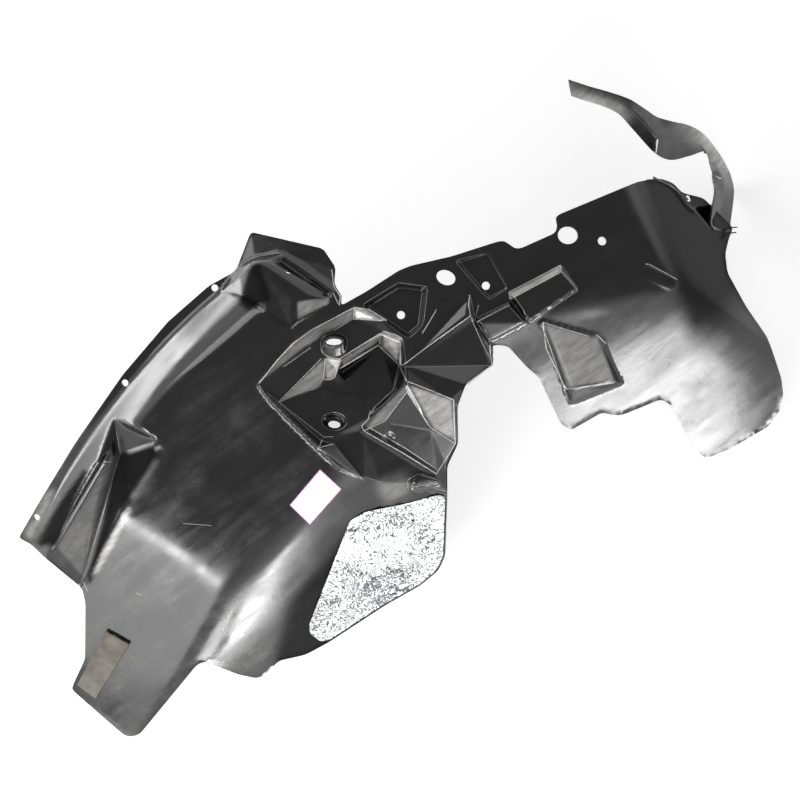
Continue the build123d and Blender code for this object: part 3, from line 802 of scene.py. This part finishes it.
# the strip and the beads carry their painted highlight, the pins none
marks["paintedHighlight"][len(sheet):] = np.concatenate([stripLight, beadHighlight, np.zeros(len(pinPlace))])
first = np.cumsum([0, len(sheet), len(stripPlace), len(beadPlace)])
faces = np.vstack([part + start for part, start in zip((faces, stripFaces, beadFaces, pinFaces), first)])
place = np.vstack([sheet, stripPlace, beadPlace, pinPlace])
print("moulding", len(faces), "faces")
moulding = meshObject("moulding", place, faces, blackPlastic(), marks)
addWall(moulding, shell["wall"])
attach(moulding, "root")
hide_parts("liner_shell")

# the foil: outline in mm, the size and tilt of its two sets of creases, and its two tones
foil = {
    "outline": [
        (-32, -113), (-68, -98), (-109, -77), (-131, -74), (-144, -82), (-244, -141), (-250, -150),
        (-247, -165), (-238, -170), (-163, -176), (-114, -183), (-89, -182), (-73, -174),
        (-28, -120),
    ],
    "pitch": 1.7, "gauge": 0.35, "lift": 1.8, "foldRange": (-1.2, 1.6),
    "creases": ((11.0, 0.16), (4.5, 0.12)),
    "bright": (0.6, 0.61, 0.62, 1), "shade": (0.06, 0.063, 0.067, 1),
}


# flat patches that each lean their own way, as in crushed foil
def crumple(x, y, cell, tilt):
    low, high = (x.min(), y.min()), (x.max(), y.max())
    count = int((high[0] - low[0]) * (high[1] - low[1]) / cell ** 2)
    seeds = np.column_stack([random.uniform(low[0], high[0], count),
                             random.uniform(low[1], high[1], count)])
    lean = random.normal(size=(count, 2)) * tilt
    nearest = np.full(x.shape, 1e9)
    height = np.zeros(x.shape)
    for (sx, sy), (lx, ly) in zip(seeds, lean):
        gap = (x - sx) ** 2 + (y - sy) ** 2
        closer = gap < nearest
        nearest[closer] = gap[closer]
        height[closer] = (lx * (x - sx) + ly * (y - sy))[closer]
    return height


def patchOnShell(outline, pitch, rounding):
    loop = spacedLoop(roundLoop(outline, rounding), pitch)
    edge = [tuple(p) for p in loop]
    low = (min(p[0] for p in edge), min(p[1] for p in edge))
    high = (max(p[0] for p in edge), max(p[1] for p in edge))
    gridX, gridY = hexGrid(pitch, low, high)
    keep = insideLoop(gridX, gridY, edge) & (distanceTo(gridX, gridY, edge + edge[:1]) > pitch * 0.4)
    return edge, fillLoops([loop], edge, [], list(zip(gridX[keep], gridY[keep])))


def makeFoil():
    edge, (plan, faces) = patchOnShell(foil["outline"], foil["pitch"], 4.0)
    step = 1.0
    low, high = plan.min(axis=0) - 4, plan.max(axis=0) + 4
    x, y = np.meshgrid(np.arange(low[0], high[0], step), np.arange(low[1], high[1], step))
    folds = sum(crumple(x, y, cell, tilt) for cell, tilt in foil["creases"])
    folds = gauss(folds, 0.8)
    i = ((plan - low) / step).astype(int)
    fold = folds[i[:, 1], i[:, 0]]
    height = readMap(gauss(maps["height"], 2.0), plan[:, 0], plan[:, 1])
    place = np.column_stack([plan, height + foil["lift"] + np.clip(fold, *foil["foldRange"])])
    return place, faces


def crinkledFoil():
    material, tree, shader, place = newMaterial("crinkledFoil")
    # dashes run across the left part and along the right part, bent by a slow noise
    bent = wire(tree, "ShaderNodeTexNoise", {"Vector": place, "Scale": 30.0, "Detail": 2.0}, output=1)
    bent = wire(tree, "ShaderNodeVectorMath", {0: bent, "Scale": 0.03}, operation="SCALE")
    bent = wire(tree, "ShaderNodeVectorMath", {0: place, 1: bent}, operation="ADD")
    rows = noise(tree, stretched(tree, bent, (620, 190, 360), 52), 1.0, 2.0, 0.6, 0.6)
    cross = noise(tree, stretched(tree, bent, (560, 210, 360), -30), 1.0, 2.0, 0.6, 0.9)
    spread = noise(tree, place, 22.0, 2.0)
    which = mapRange(tree, wire(tree, "ShaderNodeSeparateXYZ", {0: place}), -0.19, -0.07, 0.0, 1.0)
    dash = wire(tree, "ShaderNodeMix", {0: which, 2: cross, 3: rows})
    floorLevel = mapRange(tree, spread, 0.3, 0.7, 0.44, 0.55)
    dark = mapRange(tree, math2(tree, "SUBTRACT", dash, floorLevel), -0.03, 0.03, 1.0, 0.0)
    bump = wire(tree, "ShaderNodeBump", {"Height": dash, "Strength": 0.7, "Distance": 0.0012})
    base = mixColor(tree, dark, foil["bright"], foil["shade"])
    setShader(tree, shader, {"Base Color": base, "Metallic": 0.85, "Normal": bump,
                             "Roughness": mapRange(tree, spread, 0.3, 0.7, 0.28, 0.42)})
    return material


foilPlace, foilFaces = makeFoil()
heatFoil = meshObject("heatFoil", foilPlace, foilFaces, crinkledFoil())
addWall(heatFoil, foil["gauge"])
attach(heatFoil, "root")
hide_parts("heat_shield_foil")

foam = {
    "outline": [(-435, -1), (-423, -30), (-496, -56), (-503, -30)],
    "pitch": 2.2, "gauge": 6.0, "rounding": 1.5, "crown": 0.6, "border": 0.0, "softness": 3.0,
    "shade": (0.115, 0.105, 0.092, 1), "grey": (0.19, 0.175, 0.155, 1),
}
label = {
    "outline": [(-120, -6), (-115, -39), (-169, -49), (-173, -17)],
    "pitch": 0.9, "gauge": 0.4, "rounding": 0.8, "crown": 0.0, "border": 0.75, "softness": 3.0,
    "white": (0.8, 0.79, 0.8, 1), "grain": (0.72, 0.71, 0.72, 1), "ink": (0.55, 0.2, 0.5, 1),
}


def greyFoam():
    material, tree, shader, place = newMaterial("greyFoam")
    cells = wire(tree, "ShaderNodeTexVoronoi", {"Vector": place, "Scale": 900.0})
    cloud = noise(tree, place, 60.0, 4.0)
    base = mixColor(tree, mapRange(tree, cloud, 0.35, 0.65, 0.0, 1.0), foam["shade"], foam["grey"])
    bump = wire(tree, "ShaderNodeBump", {"Height": cells, "Strength": 0.6, "Distance": 0.0006})
    setShader(tree, shader, {"Base Color": base, "Roughness": 0.92, "Normal": bump,
                             "Specular IOR Level": 0.25})
    return material


def whitePaper():
    material, tree, shader, place = newMaterial("whitePaper")
    grain = noise(tree, place, 420.0, 3.0)
    base = mixColor(tree, mapRange(tree, grain, 0.3, 0.7, 0.0, 1.0), label["white"], label["grain"])
    base = mixColor(tree, mark(tree, "line"), base, label["ink"])
    bump = wire(tree, "ShaderNodeBump", {"Height": grain, "Strength": 0.15, "Distance": 0.0002})
    setShader(tree, shader, {"Base Color": base, "Roughness": 0.62, "Normal": bump})
    return material


# a patch that lies on the shell, its rim lower than its middle by its crown
def stickOn(name, patch, material, node):
    edge, (plan, faces) = patchOnShell(patch["outline"], patch["pitch"], patch["rounding"])
    base = readMap(gauss(maps["height"], patch["softness"]), plan[:, 0], plan[:, 1])
    rim = distanceTo(plan[:, 0], plan[:, 1], edge + edge[:1])
    crown = np.minimum(rim / 2, patch["crown"]) - patch["crown"]
    place = np.column_stack([plan, base + patch["gauge"] + crown])
    marks = {"line": (rim < patch["border"]).astype(float)}
    piece = meshObject(name, place, faces, material, marks)
    addWall(piece, patch["gauge"])
    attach(piece, "root")
    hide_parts(node)


stickOn("foamPad", foam, greyFoam(), "foam_pad")
stickOn("paperLabel", label, whitePaper(), "paper_label")
print("pieces made")

camera = {"height": 6120.0, "lens": 234.78, "turn": -38.0, "sensor": 36.0}


def addCamera():
    data = bpy.data.cameras.new("camera")
    data.lens = camera["lens"]
    data.sensor_width = camera["sensor"]
    data.clip_end = 60.0
    eye = bpy.data.objects.new("camera", data)
    eye.location = (planShift[0] * mm, planShift[1] * mm, (camera["height"] + planShift[2]) * mm)
    eye.rotation_euler = (0, 0, math.radians(camera["turn"]))
    bpy.context.scene.collection.objects.link(eye)
    bpy.context.scene.camera = eye


def addLamp(name, place, aim, size, radiance):
    data = bpy.data.lights.new(name, "AREA")
    data.shape = "RECTANGLE"
    data.size, data.size_y = size
    data.energy = radiance * math.pi * size[0] * size[1]
    lamp = bpy.data.objects.new(name, data)
    place, aim = (Vector(p) * mm for p in (place, aim))
    lamp.location = place
    lamp.rotation_euler = (aim - place).to_track_quat("-Z", "Y").to_euler()
    bpy.context.scene.collection.objects.link(lamp)


floorLook = {"reach": 6.0, "paint": (0.86, 0.86, 0.86, 1), "glow": 0.42}


def addFloor():
    mesh = bpy.data.meshes.new("floor")
    reach = floorLook["reach"]
    mesh.from_pydata([(-reach, -reach, 0), (reach, -reach, 0), (reach, reach, 0), (-reach, reach, 0)],
                     [], [(0, 1, 2, 3)])
    floor = bpy.data.objects.new("floor", mesh)
    material, tree, shader, _ = newMaterial("paleFloor")
    setShader(tree, shader, {"Base Color": floorLook["paint"], "Roughness": 0.9,
                             "Emission Color": (1, 1, 1, 1), "Emission Strength": floorLook["glow"]})
    mesh.materials.append(material)
    bpy.context.scene.collection.objects.link(floor)


studio = {"horizon": 1.3, "zenith": 0.3, "low": 0.4, "high": 0.62}


# a studio that is dark overhead and pale towards the horizon, white to the camera
def addWorld():
    world = bpy.data.worlds.new("studio")
    world.use_nodes = True
    tree = world.node_tree
    tree.nodes.clear()
    direction = wire(tree, "ShaderNodeTexCoord")
    up = wire(tree, "ShaderNodeSeparateXYZ", {0: direction}, output=2)
    level = mapRange(tree, up, studio["low"], studio["high"], studio["horizon"], studio["zenith"])
    direct = wire(tree, "ShaderNodeLightPath")
    strength = wire(tree, "ShaderNodeMix", {0: direct, 2: level, 3: 1.0})
    shine = wire(tree, "ShaderNodeBackground", {0: (1, 1, 1, 1), 1: strength})
    out = tree.nodes.new("ShaderNodeOutputWorld")
    tree.links.new(shine, out.inputs[0])
    bpy.context.scene.world = world


# name, place and aim in mm, width and height in metres, radiance
lamps = [
    ("lowLamp", (40, -1050, 120), (40, 0, 120), (0.32, 0.22), 17),
    ("spotLamp", (-625, -1005, 240), (-277, -93, 100), (0.08, 0.34), 26),
    ("cornerLamp", (-765, -880, 220), (-340, -120, 80), (0.16, 0.3), 12),
    ("footLamp", (-1230, -300, 640), (-380, -20, 90), (0.9, 0.34), 3.4),
    ("foldLamp", (-1087, -230, 700), (-300, 0, 135), (0.7, 0.11), 16),
    ("rimLamp", (-60, 920, 35), (-60, 200, 35), (0.8, 0.07), 9),
    ("leftRimLamp", (-480, 500, 55), (-280, 180, 55), (0.5, 0.11), 8),
    ("backLamp", (-400, 1200, 900), (-150, 180, 180), (1.3, 0.5), 3.5),
    ("bendLamp", (30, -960, 560), (190, -90, 160), (0.26, 0.2), 4),
]

addCamera()
addFloor()
addWorld()
for lamp in lamps:
    addLamp(*lamp)
bpy.context.scene.view_settings.view_transform = "Standard"

bpy.context.view_layer.update()
